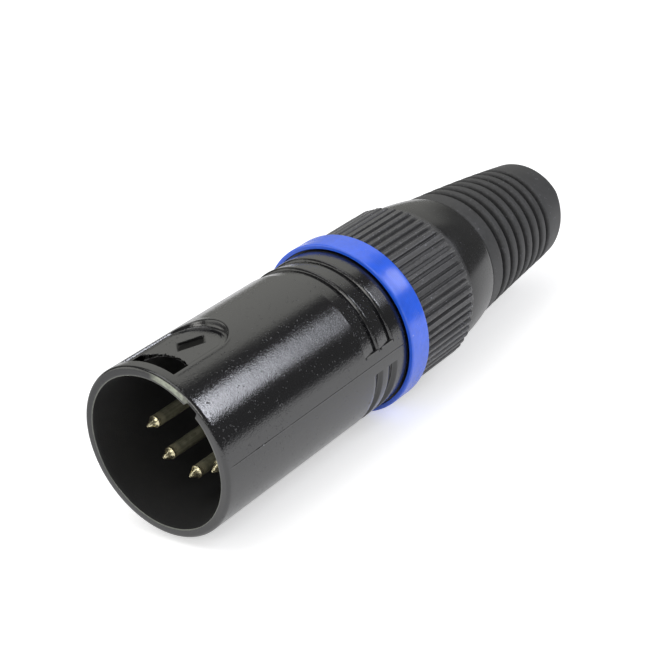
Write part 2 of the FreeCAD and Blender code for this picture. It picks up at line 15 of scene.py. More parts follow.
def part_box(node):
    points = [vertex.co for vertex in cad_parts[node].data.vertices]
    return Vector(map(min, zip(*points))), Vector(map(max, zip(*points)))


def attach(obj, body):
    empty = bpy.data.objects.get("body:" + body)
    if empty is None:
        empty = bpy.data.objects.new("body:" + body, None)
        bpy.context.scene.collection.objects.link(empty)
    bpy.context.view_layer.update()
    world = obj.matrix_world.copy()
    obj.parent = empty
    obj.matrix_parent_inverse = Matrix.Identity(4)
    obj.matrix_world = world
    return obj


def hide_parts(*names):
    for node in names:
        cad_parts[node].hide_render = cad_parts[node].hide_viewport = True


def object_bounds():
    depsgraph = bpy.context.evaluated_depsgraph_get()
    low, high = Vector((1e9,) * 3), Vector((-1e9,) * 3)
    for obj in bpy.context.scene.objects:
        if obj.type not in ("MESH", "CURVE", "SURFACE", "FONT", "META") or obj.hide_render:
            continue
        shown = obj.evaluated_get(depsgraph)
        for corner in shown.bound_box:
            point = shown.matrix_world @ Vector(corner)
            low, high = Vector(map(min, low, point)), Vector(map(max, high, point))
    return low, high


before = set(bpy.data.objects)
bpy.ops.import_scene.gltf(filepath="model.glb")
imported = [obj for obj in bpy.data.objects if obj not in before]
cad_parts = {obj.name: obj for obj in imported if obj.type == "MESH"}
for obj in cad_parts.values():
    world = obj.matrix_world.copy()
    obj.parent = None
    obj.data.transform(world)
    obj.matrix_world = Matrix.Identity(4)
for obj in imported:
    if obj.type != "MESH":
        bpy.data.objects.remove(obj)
CAD_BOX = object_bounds()
MM = 0.001

bl_info = {
    "name": "Cable Plug Looks",
    "version": (1, 0, 0),
    "blender": (4, 5, 0),
    "location": "View3D > Sidebar > Cable Plug",
    "description": "Builds the shell, ring, nut, bend relief and contacts of a cable plug",
    "category": "Object",
}


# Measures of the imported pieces

def span(node):
    """First and last station of a node along the plug's axis, in millimetres."""
    low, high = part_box(node)
    return low[0] / MM, high[0] / MM


def outer_radius(node):
    """Half the width of a node, in millimetres."""
    low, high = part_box(node)
    return (high[1] - low[1]) / 2 / MM


# Shape helpers

def ramp(low, high, value):
    """Smooth step: 0 below low, 1 above high, 3t^2 - 2t^3 in between."""
    share = np.clip((value - low) / (high - low), 0, 1)
    return share * share * (3 - 2 * share)


def stations(first, last, pitch, marks=()):
    """Values from first to last about pitch apart, with five extra ones close to each mark."""
    base = np.linspace(first, last, max(2, int(round((last - first) / pitch)) + 1))
    extra = np.add.outer(np.asarray(marks, float), np.linspace(-0.06, 0.06, 5)).ravel()
    values = np.unique(np.round(np.concatenate([base, extra]), 5))
    return values[(values >= first - 1e-6) & (values <= last + 1e-6)]


def spread(*runs):
    """Runs of values, joined: each is (first, last, pitch) or a list of values."""
    return np.concatenate([stations(*run) if isinstance(run, tuple) else run for run in runs])


def rounded(corners, radius, steps):
    """Profile with every corner rounded.

    Each corner becomes a parabola that leaves and meets the two edges at the given distance, or at
    0.45 of the shorter edge. Corners are (along, radius), in a closed ring.
    """
    corners = np.asarray(corners, float)
    before = np.roll(corners, 1, axis=0) - corners
    after = np.roll(corners, -1, axis=0) - corners
    reach_before = np.linalg.norm(before, axis=1)
    reach_after = np.linalg.norm(after, axis=1)
    cut = np.minimum(radius, 0.45 * np.minimum(reach_before, reach_after))
    start = corners + before * (cut / reach_before)[:, None]
    end = corners + after * (cut / reach_after)[:, None]
    share = np.linspace(0, 1, steps)[None, :, None]
    path = (1 - share) ** 2 * start[:, None] + 2 * share * (1 - share) * corners[:, None]
    return (path + share ** 2 * end[:, None]).reshape(-1, 2)


def divided(profile, pitch):
    """The closed profile with more points on every edge that is longer than pitch."""
    following = np.roll(profile, -1, axis=0)
    pieces = np.maximum(1, np.ceil(np.linalg.norm(following - profile, axis=1) / pitch)).astype(int)
    owner = np.repeat(np.arange(len(profile)), pieces)
    order = np.arange(len(owner)) - np.repeat(np.cumsum(pieces) - pieces, pieces)
    share = (order / pieces[owner])[:, None]
    return profile[owner] * (1 - share) + following[owner] * share


def swept(along, radius, angle):
    """Points at a station, at a radius and at an angle from the top towards the side at -Y."""
    return np.stack(np.broadcast_arrays(along, -radius * np.sin(angle), radius * np.cos(angle)), -1)


def carried_round(profile, angle):
    """Each (station, radius) of a profile, at each of the angles."""
    return swept(profile[:, :1], profile[:, 1:], angle[None, :])


def net(rows, angle):
    """Station and angle of every point of a sheet of rows and columns."""
    return np.meshgrid(rows, angle, indexing="ij")


def grid_faces(rows, columns, wrap_rows=True):
    """Four-sided faces of a grid that closes on itself across its columns, facing outwards."""
    row, column = net(np.arange(rows if wrap_rows else rows - 1), np.arange(columns))
    next_row, next_column = (row + 1) % rows, (column + 1) % columns
    corners = [row * columns + column, row * columns + next_column,
               next_row * columns + next_column, next_row * columns + column]
    return np.stack(corners, -1)


def bridge(first, second):
    """Four-sided faces between two paths of points of equal length."""
    return np.stack([first[:-1], first[1:], second[1:], second[:-1]], -1)


def full_circle(columns):
    """Angles of the columns of a closed ring."""
    return np.linspace(0, 2 * math.pi, columns, endpoint=False)


# Shell: stations count from the rim, angles from the middle of the window

SHELL = outer_radius("shell")
SHELL_END = span("shell")[1]
MOUTH, NECK = SHELL - 1.05, SHELL - 1.2
RIM_ROLL = np.radians([75, 60, 45, 30, 15, 0])

# Latch field, and the height at which its width is measured
FIELD_FLOOR = SHELL - 0.75
FIELD_PLANE = FIELD_FLOOR + 0.05
BORDER = FIELD_FLOOR - 0.13
FIELD_FRONT, FIELD_REAR, FIELD_HALF = 1.3, 11.6, 3.6
ROUND_END, SIDE_WALL, FAR_ASIDE = (8.2, 9.2), 0.07, 9

# Wall of the round end: its level at distances from the outline, both as shares of its height
WALL_KNOTS = (0, 0.06, 0.1, 0.13, 0.24, 0.3, 0.38, 0.5, 0.7)
WALL_LEVELS = (0, 0.04, 0.1, 0.17, 0.64, 0.77, 0.87, 0.94, 1)

# Recess in the pad: the middle and the two sides of a parallelogram, each (along, aside)
RECESS_MIDDLE, RECESS_SIDES = (7.67, 0.04), ((1.05, 1.11), (2.2, -1.05))

WINDOW_REAR, WINDOW_HALF = 3.3, 3.2
WINDOW_EDGE = math.atan2(WINDOW_HALF, FIELD_FLOOR)
WINDOW_ROWS = np.linspace(FIELD_FRONT, WINDOW_REAR, 9)
BEHIND_WINDOW = 5.2

# Key groove in the mouth, and where its rounded sides start and end
KEY_ANGLE, KEY_RADIUS, KEY_FLOOR, KEY_LENGTH = math.radians(45), 8.8, SHELL - 0.4, 11
KEY_SIDES = (0.62, 0.95)

# Grip: where its first ramp starts, how far behind it the second lies, and its level shelves
GRIP_START, GRIP_PITCH = 22.9, 2.6
GRIP_KNOTS = np.array([24.7, 24.8, 25.1, 25.18, 25.34, 25.5])
GRIP_LEVELS = [0.25, 0.5, 0.5, 0.2, 0.03, 0]
GRIP_MARKS = np.array([24.75, 25.14, 25.3, 25.46])
UPPER_SHELF, LOWER_SHELF = 1.5, -1

PARTING = math.radians(88.5)
PITCH, THREAD_START, THREAD_DEPTH = 1.25, 34.8, 0.35


def field_rear(angle):
    """Station of the field's rear wall: half a circle of the field's half width, seen from above."""
    widest = FIELD_HALF - 0.3
    aside = np.clip(np.abs(SHELL * np.sin(angle)), 0, widest)
    aside = np.where(np.cos(angle) > 0, aside, widest)
    return FIELD_REAR - FIELD_HALF + np.sqrt(FIELD_HALF ** 2 - aside ** 2)


def window_rear(angle):
    """Station of the window's rear edge: a parabola 1 mm deep, made ragged by two sine waves."""
    aside = np.abs(FIELD_PLANE * np.tan(np.clip(angle, -1.2, 1.2)))
    bow = np.clip(1 - (aside / WINDOW_HALF) ** 2, 0, 1)
    ragged = 0.035 * np.sin(angle * 55) + 0.03 * np.sin(angle * 131 + 1)
    return WINDOW_REAR + (0.4 + bow + ragged) * (1 - ramp(WINDOW_HALF, WINDOW_HALF + 0.2, aside))


def bowed(along, angle):
    """Stations of rows near the window, moved so that one of them follows its rear edge."""
    share = np.interp(along, [FIELD_FRONT, WINDOW_REAR, WINDOW_REAR + 3.4], [0, 1, 0])
    return along + (window_rear(angle) - WINDOW_REAR) * share


def upper_depth(along):
    """Depth of the upper grip: two ramps that fall by 0.25 mm, each into a groove 0.5 mm deep."""
    knots = np.concatenate([[GRIP_START], GRIP_KNOTS, GRIP_KNOTS + GRIP_PITCH])
    return np.interp(along, knots, [0] + 2 * GRIP_LEVELS)


def lower_depth(along):
    """Depth of the two soft grooves below: 0.45 mm, with walls that fall over about 0.3 mm."""
    first = along - np.where(along > 26.2, GRIP_PITCH, 0)
    return 0.45 * ramp(24.25, 24.5, first) * (1 - ramp(25.2, 25.55, first))


def field_height(along, aside):
    """Height of the latch field over the axis: a border, a pad inside it and a slanted recess.

    The distance from the field's outline, a strip with a round end, sets the height of the border
    and of the pad, 0.05 mm higher. The recess is a parallelogram: the larger of a place's shares
    of its two sides sets the depth.
    """
    distance = np.hypot(np.maximum(along - FIELD_REAR + FIELD_HALF, 0), aside) - FIELD_HALF
    pad = distance + 0.3 * ramp(*ROUND_END, along)
    height = BORDER + 0.05 * (1 - ramp(-0.56, -0.42, pad))
    shift, rise = along - RECESS_MIDDLE[0], aside - RECESS_MIDDLE[1]
    first, second = (a * shift + b * rise for a, b in np.linalg.inv(np.transpose(RECESS_SIDES)))
    recess = 1 - ramp(0.55, 0.65, np.maximum(np.abs(first), np.abs(second)))
    return distance, height, recess


def shell_skin(along, angle):
    """Radius of the shell's outside at a station and an angle from the window.

    The plain barrel, less the latch field and less the grip grooves, which end on level shelves,
    with the low ridges of the parting line. The field's walls are steep along its sides, follow the
    wall levels round its end, and have a lip 0.03 mm high round their top.
    """
    upright = np.cos(angle)
    on_top, rising, falling = upright > 0.5, upright > 1e-3, upright < -1e-3
    above = np.where(on_top, upright, 1)
    aside = np.where(on_top, -FIELD_PLANE * np.sin(angle) / above, FAR_ASIDE)
    distance, height, recess = field_height(along, aside)
    height = height - 0.2 * recess
    inside = ramp(FIELD_FRONT - 0.03, FIELD_FRONT + 0.03, along)
    straight = np.clip(-distance / SIDE_WALL, 0, 1)
    tall = np.maximum(SHELL * above - BORDER, 0.1)
    round_end = np.interp(-distance / tall, WALL_KNOTS, WALL_LEVELS)
    inside = inside * (straight + (round_end - straight) * ramp(*ROUND_END, along))
    lip = 0.03 * np.exp(-((distance - 0.16) / 0.13) ** 2) * (along > FIELD_FRONT)
    skin = SHELL - (SHELL - height / above) * inside + lip * on_top

    behind_field = along > 20
    upper = np.maximum(SHELL - upper_depth(along), UPPER_SHELF / np.maximum(upright, 1e-3))
    skin = np.where(rising & behind_field, np.minimum(skin, upper), skin)
    lower = np.maximum(SHELL - lower_depth(along), LOWER_SHELF / np.minimum(upright, -1e-3))
    skin = np.where(falling & behind_field, np.minimum(skin, lower), skin)

    taller = np.exp(-((along - 5.5) / 1.1) ** 2) * (0.6 + 0.4 * np.sin(7 * along))
    height = 0.06 * (0.45 + 0.55 * taller) * ramp(0.2, 0.8, along)
    for side in (PARTING, PARTING - math.pi):
        across = SHELL * np.sin(angle - side)
        skin = skin + (np.cos(angle - side) > 0) * height * np.exp(-(across / 0.05) ** 2)
    return skin


def neck_skin(along, angle):
    """Radius of the neck: a right-hand thread groove that runs in smoothly, and a chamfered end."""
    phase = (along - THREAD_START) / PITCH + angle / (2 * math.pi)
    from_groove = np.abs(phase - np.round(phase)) * PITCH
    depth = THREAD_DEPTH * (1 - ramp(0.12, 0.38, from_groove))
    chamfer = np.clip(along - (SHELL_END - 0.4), 0, None)
    return NECK - np.maximum(depth * ramp(THREAD_START, THREAD_START + 0.9, along), chamfer)


def mouth_skin(radius, along, angle):
    """Radius of the mouth: the bore, opened by the key groove 1.6 mm wide with rounded sides."""
    turn = angle - KEY_ANGLE
    sideways = np.where(np.cos(turn) > 0, np.abs(KEY_RADIUS * np.sin(turn)), FAR_ASIDE)
    groove = MOUTH + (KEY_FLOOR - MOUTH) * (1 - ramp(*KEY_SIDES, sideways))
    return np.maximum(radius, np.where(along < KEY_LENGTH, groove, 0))


def shell_angles():
    """Angles of the shell's columns: close at the field's walls, the shelves and the parting line.

    They are listed in degrees, for the side at -Y and then for the other. The columns nearest to
    the window's sides move onto them.
    """
    shelf, inner_shelf = (math.degrees(math.acos(UPPER_SHELF / r)) for r in (SHELL, FIELD_FLOOR))
    low_shelf = math.degrees(math.acos(LOWER_SHELF / (SHELL - 0.2)))
    field = spread((0, 18.4, 0.72), (18.9, 21.3, 0.3), (21.5, 22.5, 0.1), [22.9, 23.4, 24])
    near = spread(field, (25, 38, 1.9), (38.6, 41.2, 0.32), (42.6, 47.4, 1.6), (48.8, 51.4, 0.32),
                  (53.2, 72.5, 1.9), (74.4, 79, 2.2), (inner_shelf - 0.3, shelf + 0.3, 0.2),
                  [83, 85, 86.6], (87.5, 89.5, 0.2), (91, 94.6, 1.8),
                  (low_shelf - 0.8, low_shelf + 0.8, 0.2), (98.6, 179, 2.3))
    far = spread(field[1:], (25.6, 78.4, 2.4), (inner_shelf - 0.3, shelf + 0.3, 0.24),
                 (83.4, 90, 2.2), (90.5, 92.5, 0.2), (94, 178, 2.4))
    angle = np.unique(np.radians(np.concatenate([near, -far])))
    for edge in (WINDOW_EDGE, -WINDOW_EDGE):
        angle[np.argmin(np.abs(angle - edge))] = edge
    return angle


def outside_rows():
    """Stations of the rows over the outside: the rounded rim, the window, the field and the grip."""
    marks = np.concatenate([[GRIP_START], GRIP_MARKS, GRIP_MARKS + GRIP_PITCH])
    rows = spread(0.4 * (1 - np.sin(RIM_ROLL)), [0.8, 1.2, FIELD_FRONT - 0.04], WINDOW_ROWS,
                  (WINDOW_REAR + 0.05, FIELD_REAR - 0.75, 0.17),
                  FIELD_REAR - np.linspace(0, 0.74, 20), FIELD_REAR + np.linspace(0.06, 0.4, 6),
                  (12.6, 22, 1.2), (22.5, 30.05, 0.45, marks))
    return np.unique(np.round(rows, 5))


def outside_sheet(rows, angle):
    """Points over the outside, from a quarter of an ellipse over the rim to the shoulder.

    Rows bend with the window's rear edge and with the field's round end.
    """
    along, turn = net(rows, angle)
    lean = np.interp(along, [3.6, 10.9, 12.6, 18], [0, 1, 1, 0])
    along = bowed(along, turn) + (field_rear(turn) - FIELD_REAR) * lean
    radius = shell_skin(along, turn)
    radius[:len(RIM_ROLL)] -= 0.38 * (1 - np.cos(RIM_ROLL))[:, None]
    return swept(along, radius, turn)


def mouth_sheet(rows, angle):
    """Points of the mouth's bore, whose columns lean near the window to keep its side walls level."""
    along, turn = net(rows, angle)
    level = np.interp(np.abs(turn), [0, WINDOW_EDGE, 0.7, math.pi],
                      [0, math.asin(WINDOW_HALF / MOUTH), 0.7, math.pi]) * np.sign(turn)
    lean = ramp(0.4, 1.1, along) * (1 - ramp(3.6, 5, along))
    along = bowed(along, turn)
    turn = turn + (level - turn) * lean
    return swept(along, mouth_skin(MOUTH, along, turn), turn)


def rim_sheet(angle):
    """Points of the rim's flat face, from its rounded and slightly wavy inner edge outwards."""
    rim = np.array([
        (0.12, MOUTH), (0.035, MOUTH + 0.025), (0, MOUTH + 0.09), (0, 8.75), (0, 9), (0, 9.12)])
    along, turn = net(rim[:, 0], angle)
    wave = 0.02 * np.sin(3 * turn + 1) + 0.012 * np.sin(8 * turn)
    radius = rim[:, 1:] + wave * (rim[:, 1:] < 8.6)
    return swept(along, mouth_skin(radius, along, turn), turn)


def open_window(points, angle, outer, bore, bore_start):
    """Points and faces of the shell with the window cut through both of its skins.

    A wall of five steps joins the two edges: points in equal shares between them, moved at random
    at the window's rear.
    """
    rows, columns = points.shape[:2]
    faces = grid_faces(rows, columns)
    first, last = np.searchsorted(outer, [FIELD_FRONT - 0.041, WINDOW_REAR - 1e-4])
    left, right = np.searchsorted(angle, [-WINDOW_EDGE - 1e-6, WINDOW_EDGE - 1e-6])
    bore_edges = np.abs(bore[:, None] - [FIELD_FRONT, WINDOW_REAR]).argmin(axis=0)
    bore_last, bore_first = bore_start + bore_edges
    keep = np.ones((rows, columns), bool)
    keep[first:last, left:right] = False
    keep[bore_first:bore_last, left:right] = False

    across, down = np.arange(left, right + 1), np.arange(first, last + 1)
    bore_down = np.linspace(bore_last, bore_first, len(down)).round().astype(int)
    outline, bore_outline = [
        np.concatenate([front * columns + across, side[1:] * columns + right,
                        rear * columns + across[::-1][1:], side[::-1][1:-1] * columns + left])
        for front, side, rear in ((first, down, last), (bore_last, bore_down, bore_first))]
    points = points.reshape(-1, 3)
    share = np.linspace(0, 1, 6)[1:-1, None, None]
    wall = points[outline] * (1 - share) + points[bore_outline] * share
    rough = np.random.default_rng(3).normal(0, 0.045, wall.shape)
    wall += rough * ramp(2.6, 3.4, wall[..., :1])
    paths = len(points) + np.arange(wall[..., 0].size).reshape(wall.shape[:2])
    paths = np.concatenate([[outline], paths, [bore_outline]])
    paths = np.concatenate([paths, paths[:, :1]], axis=1)
    walls = [bridge(*pair) for pair in zip(paths, paths[1:])]
    return (np.concatenate([points, wall.reshape(-1, 3)]),
            np.concatenate([faces[keep].reshape(-1, 4), *walls]))


def shell_surface():
    """Closed surface of the shell as rows along its section and columns around its axis.

    The rows run back over the outside, the shoulder and the neck, and forward through the bore,
    over the lip that holds the carrier, to the mouth and the rim.
    """
    angle = shell_angles()
    outer = outside_rows()
    shoulder = np.array([
        (30.12, 9.48), (30.18, 9.42), (30.2, 9.33), (30.2, 8.9), (30.2, 8.38), (30.24, 8.3)])
    neck, turn = net(spread((31, 34, 1), (34.3, SHELL_END, 0.13)), angle)
    inner = np.array([
        (41.5, 7.25), (41.45, 7.2), (36, 7.2), (26, 7.2), (15.35, 7.2), (15.3, 7.15), (15.3, 6.55),
        (15.25, 6.5), (14.55, 6.5), (14.5, 6.55), (14.5, 8.25), (14.45, 8.3)])
    bore = spread([12.6, KEY_LENGTH + 0.03, KEY_LENGTH - 0.03, 9, 7, 5.2, 4], WINDOW_ROWS[::-1], [1, 0.6])
    sheets = [outside_sheet(outer, angle), carried_round(shoulder, angle),
              swept(neck, neck_skin(neck, turn), turn), carried_round(inner, angle)]
    bore_start = sum(map(len, sheets))
    sheets += [mouth_sheet(bore, angle), rim_sheet(angle)]
    return open_window(np.concatenate(sheets), angle, outer, bore, bore_start)


# Ring, nut, bend relief and contacts

RING_FOOT, RING_LIP = 9.64, 9.68
CREST, FLUTE_FLOOR, COLLAR, COLLAR_END = outer_radius("clamp_nut"), 9.25, 9.15, 8.25
FLUTE_END, COLLAR_START = 43.2, 44
BOOT_ROOT, BOOT_END, BOOT_TAPER_END, BOOT_END_ROUND = 8.2, 6.35, 69.5, 1.9
SPIGOT = 6
PIN_CIRCLE, CUP_START = 4.76, 26


def ring_surface(columns=240):
    """The coding ring: a band with rounded edges round a seat that is open towards the nut.

    Its front face starts behind a shallow recess round the shell's shoulder. Turned rings 0.27 mm
    apart cover the band, a cosine wave about 0.015 mm deep that comes and goes.
    """
    front, rear = span("coding_ring")
    radius = outer_radius("coding_ring")
    corners = [(front + 0.15, 8.42), (front + 0.15, RING_FOOT), (front, RING_LIP), (front, radius),
               (rear, radius), (rear, 9.3), (front + 0.3, 9.3), (front + 0.3, 8.42)]
    profile = divided(rounded(corners, [0.02, 0.04, 0.03, 0.26, 0.3, 0.1, 0.05, 0.02], 6), 0.045)
    along = profile[:, 0]
    rings = (1 - np.cos(2 * math.pi * along / 0.27)) * (1 + 0.5 * np.sin(3 * along))
    profile[:, 1] -= 0.0075 * rings * (profile[:, 1] > radius - 0.002)
    return carried_round(profile, full_circle(columns)), grid_faces(len(profile), columns)


def nut_surface(flutes):
    """Closed surface of the nut: flutes in front, a tapered collar behind, the bores inside.

    A ridge is nearly flat over half of the pitch and falls over an eighth of it. Each differs a
    little from the next in width, height and length. The collar's radius falls by the power 1.6
    of the distance.
    """
    front, rear = span("clamp_nut")
    end = span("bend_relief_boot")[0]
    phases = np.array([0, 0.14, 0.27, 0.31, 0.35, 0.39, 0.5, 0.61, 0.65, 0.69, 0.73, 0.86])
    order = np.arange(flutes)[:, None]
    angle = ((order + phases) / flutes * 2 * math.pi).ravel()
    owner = (order + (phases > 0.5)).ravel() % flutes
    source = np.random.default_rng(7)
    width, height, length = (source.normal(0, change, flutes)[owner] for change in (0.03, 0.05, 0.12))
    away = np.tile(np.minimum(phases, 1 - phases), flutes) - width
    ridge = 1 - ramp(0.24, 0.37, away) + 0.06 * ramp(0.08, 0.22, away)

    outer = spread(front + np.array([0, 0.03, 0.09, 0.18, 0.3]), (34.1, 42.4, 0.8),
                   (42.5, 43.7, 0.1), (44, 49.2, 0.55), [49.4, 49.5, 49.58, 49.64, 49.68, end])
    along, turn = net(np.unique(np.round(outer, 4)), angle)
    start = ramp(front - 0.2, front + 0.35, along)
    finish = 1 - ramp(-0.32, 0.1, along - FLUTE_END - length)
    crest = CREST - 0.03 - 0.26 * (1 - start) + np.minimum(height, 0) * start
    base = FLUTE_FLOOR + (COLLAR - FLUTE_FLOOR) * ramp(FLUTE_END - 0.6, FLUTE_END + 0.4, along)
    taper = np.clip((along - COLLAR_START) / (end - COLLAR_START), 0, 1)
    last = np.clip((along - (end - 0.3)) / 0.3, 0, 1)
    base = base - (COLLAR - COLLAR_END) * taper ** 1.6 - 0.3 * (1 - np.sqrt(1 - last ** 2))
    radius = base + (crest - FLUTE_FLOOR) * ridge * finish * (0.5 + 0.5 * start)

    inner = [(end, SPIGOT), (rear, SPIGOT), (rear, 4.4), (47.6, 4.4), (45.35, 7.15), (42.1, 7.15),
             (42.1, 8.4), (41.1, 8.4), (41.1, 8.05), (35.4, 8.05), (35.4, 8.4), (front, 8.4), (front, 9)]
    points = np.concatenate([swept(along, radius, turn), carried_round(rounded(inner, 0.08, 3), angle)])
    return points, grid_faces(len(points), len(angle))


def boot_surface(droop, columns=144):
    """The bend relief: soft lands and grooves on a taper, which droops along a parabola.

    Its nose is a quarter of a circle, and its end is cut a little shorter below.
    """
    front, rear = span("bend_relief_boot")
    groove_start, groove_pitch, groove_width, groove_depth = 52.3, 2.05, 0.85, 0.95

    def surface(station):
        share = np.clip((station - front) / (BOOT_TAPER_END - front), 0, 1)
        return BOOT_ROOT + (BOOT_END - BOOT_ROOT) * share

    # Each corner is (station, radius, how far it is rounded)
    outline = [(front, SPIGOT, 0.04), (front, BOOT_ROOT, 0.22)]
    for near in groove_start + groove_pitch * np.arange(7):
        far = near + groove_width
        outline += [(near, surface(near), 0.34), (near + 0.06, surface(near) - groove_depth, 0.24),
                    (far - 0.06, surface(far) - groove_depth, 0.24), (far, surface(far), 0.34)]
    outline.append((BOOT_TAPER_END - 0.3, BOOT_END + 0.02, 0.05))
    outline += [(rear - BOOT_END_ROUND * (1 - math.sin(turn)),
                 BOOT_END - BOOT_END_ROUND * (1 - math.cos(turn)), 0.05)
                for turn in np.linspace(0, math.pi / 2, 9)[1:]]
    outline += [(rear, 4.35, 0.12), (rear, 4.2, 0.12), (54, 4.2, 0.05), (54, SPIGOT, 0.05)]
    outline = np.array(outline)
    profile = divided(rounded(outline[:, :2], outline[:, 2], 5), 0.9)
    points = carried_round(profile, full_circle(columns))

    travel = np.clip((points[..., :1] - 50) / 20, 0, None)
    below = np.clip(-0.5 * points[..., 1] - 0.87 * points[..., 2], 0, None)
    points[..., 0] -= 0.22 * below * ramp(66, 71, points[..., 0])
    sag = droop / MM * np.array([0, 0.507, -0.862])
    return points + travel ** 2 * sag, grid_faces(len(profile), columns)


def pin_surface(turn, columns=48):
    """A contact pin: nib, cone, shoulder ring, brushed shaft, root and open solder cup.

    The profile starts and ends on the pin's axis, where each row of equal points closes into one
    pole. The cup's outer half is cut away over its last 3 mm, and faces join the two skins there.
    """
    profile = np.array([
        (4, 0), (4, 0.06), (4.01, 0.1), (4.1, 0.125), (4.14, 0.19), (4.6, 0.4), (5.03, 0.6), (5.045, 0.655),
        (5.07, 0.685), (5.12, 0.7), (5.2, 0.7), (5.24, 0.675), (5.34, 0.672), (5.4, 0.68), (6.4, 0.69),
        (8, 0.7), (10, 0.7), (12, 0.7), (14.24, 0.7), (14.3, 0.76), (14.3, 0.86), (14.34, 0.9),
        (17.04, 0.9), (17.1, 0.94), (17.14, 1), (21, 1), (CUP_START, 1), (27.5, 1), (28.92, 1),
        (29, 0.94), (29, 0.8), (28.92, 0.72), (27.5, 0.7), (CUP_START, 0.7), (25.4, 0.7), (25.3, 0.5),
        (25.25, 0)])
    points = carried_round(profile, turn + full_circle(columns))

    faces = grid_faces(len(profile), columns, wrap_rows=False)
    cup = np.flatnonzero(profile[:, 0] >= CUP_START)
    first, last = cup[0], cup[-1]
    quarter = columns // 4
    keep = np.ones(faces.shape[:2], bool)
    keep[first:last, :quarter] = False
    keep[first:last, -quarter:] = False
    open_columns = np.arange(-quarter, quarter + 1) % columns
    walls = [bridge(first * columns + open_columns, last * columns + open_columns)]
    steps = np.arange(len(cup) // 2)
    for column, flip in ((quarter, 1), (columns - quarter, -1)):
        outer_edge = (first + steps) * columns + column
        inner_edge = (last - steps) * columns + column
        walls.append(bridge(outer_edge[::flip], inner_edge[::flip]))
    return points + swept(0, PIN_CIRCLE, turn), np.concatenate([faces[keep].reshape(-1, 4), *walls])


# Pieces in the scene

def new_object(name, data):
    """An object of the given data, linked to the scene."""
    item = bpy.data.objects.new(name, data)
    bpy.context.scene.collection.objects.link(item)
    return item


def edge_measure(piece, reach):
    """Stores how convex the surface is at each point, 0 to 1, as the attribute named edge.

    At each point, the mean offset to its neighbours along its normal, over the given reach.
    """
    mesh = piece.data
    count = len(mesh.vertices)
    place, normal = np.empty(count * 3), np.empty(count * 3)
    mesh.vertices.foreach_get("co", place)
    mesh.vertex_normals.foreach_get("vector", normal)
    place, normal = place.reshape(-1, 3), normal.reshape(-1, 3)
    pairs = np.empty(len(mesh.edges) * 2, int)
    mesh.edges.foreach_get("vertices", pairs)
    first, second = pairs.reshape(-1, 2).T
    offset = place[second] - place[first]
    length = np.maximum(np.linalg.norm(offset, axis=1), 1e-9)
    total = np.bincount(first, -(offset * normal[first]).sum(1) / length, count)
    total += np.bincount(second, (offset * normal[second]).sum(1) / length, count)
    neighbours = np.maximum(np.bincount(pairs, minlength=count), 1)
    store(piece, "edge", np.clip(total / neighbours / reach, 0, 1))


def store(piece, name, values):
    """Stores one number for each point of a piece as an attribute."""
    attribute = piece.data.attributes.new(name, "FLOAT", "POINT")
    attribute.data.foreach_set("value", np.asarray(values, np.float32))


def put_in_scene(name, surface, body, node, material, reach=0.3, sharp=50):
    """A piece of points in millimetres and four-sided faces, crisp at edges over sharp degrees."""
    points, faces = surface
    mesh = bpy.data.meshes.new(name)
    mesh.from_pydata(points.reshape(-1, 3) * MM, [], faces.reshape(-1, 4).tolist())
    mesh.validate()
    mesh.shade_smooth()
    mesh.set_sharp_from_angle(angle=math.radians(sharp))
    mesh.materials.append(material)
    piece = new_object(name, mesh)
    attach(piece, body)
    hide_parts(node)
    edge_measure(piece, reach)
    return piece


def dress(node, material):
    """Gives a kept node of the frame a finish of its own."""
    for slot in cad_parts[node].material_slots:
        slot.material = material


# Node webs and the shared effects

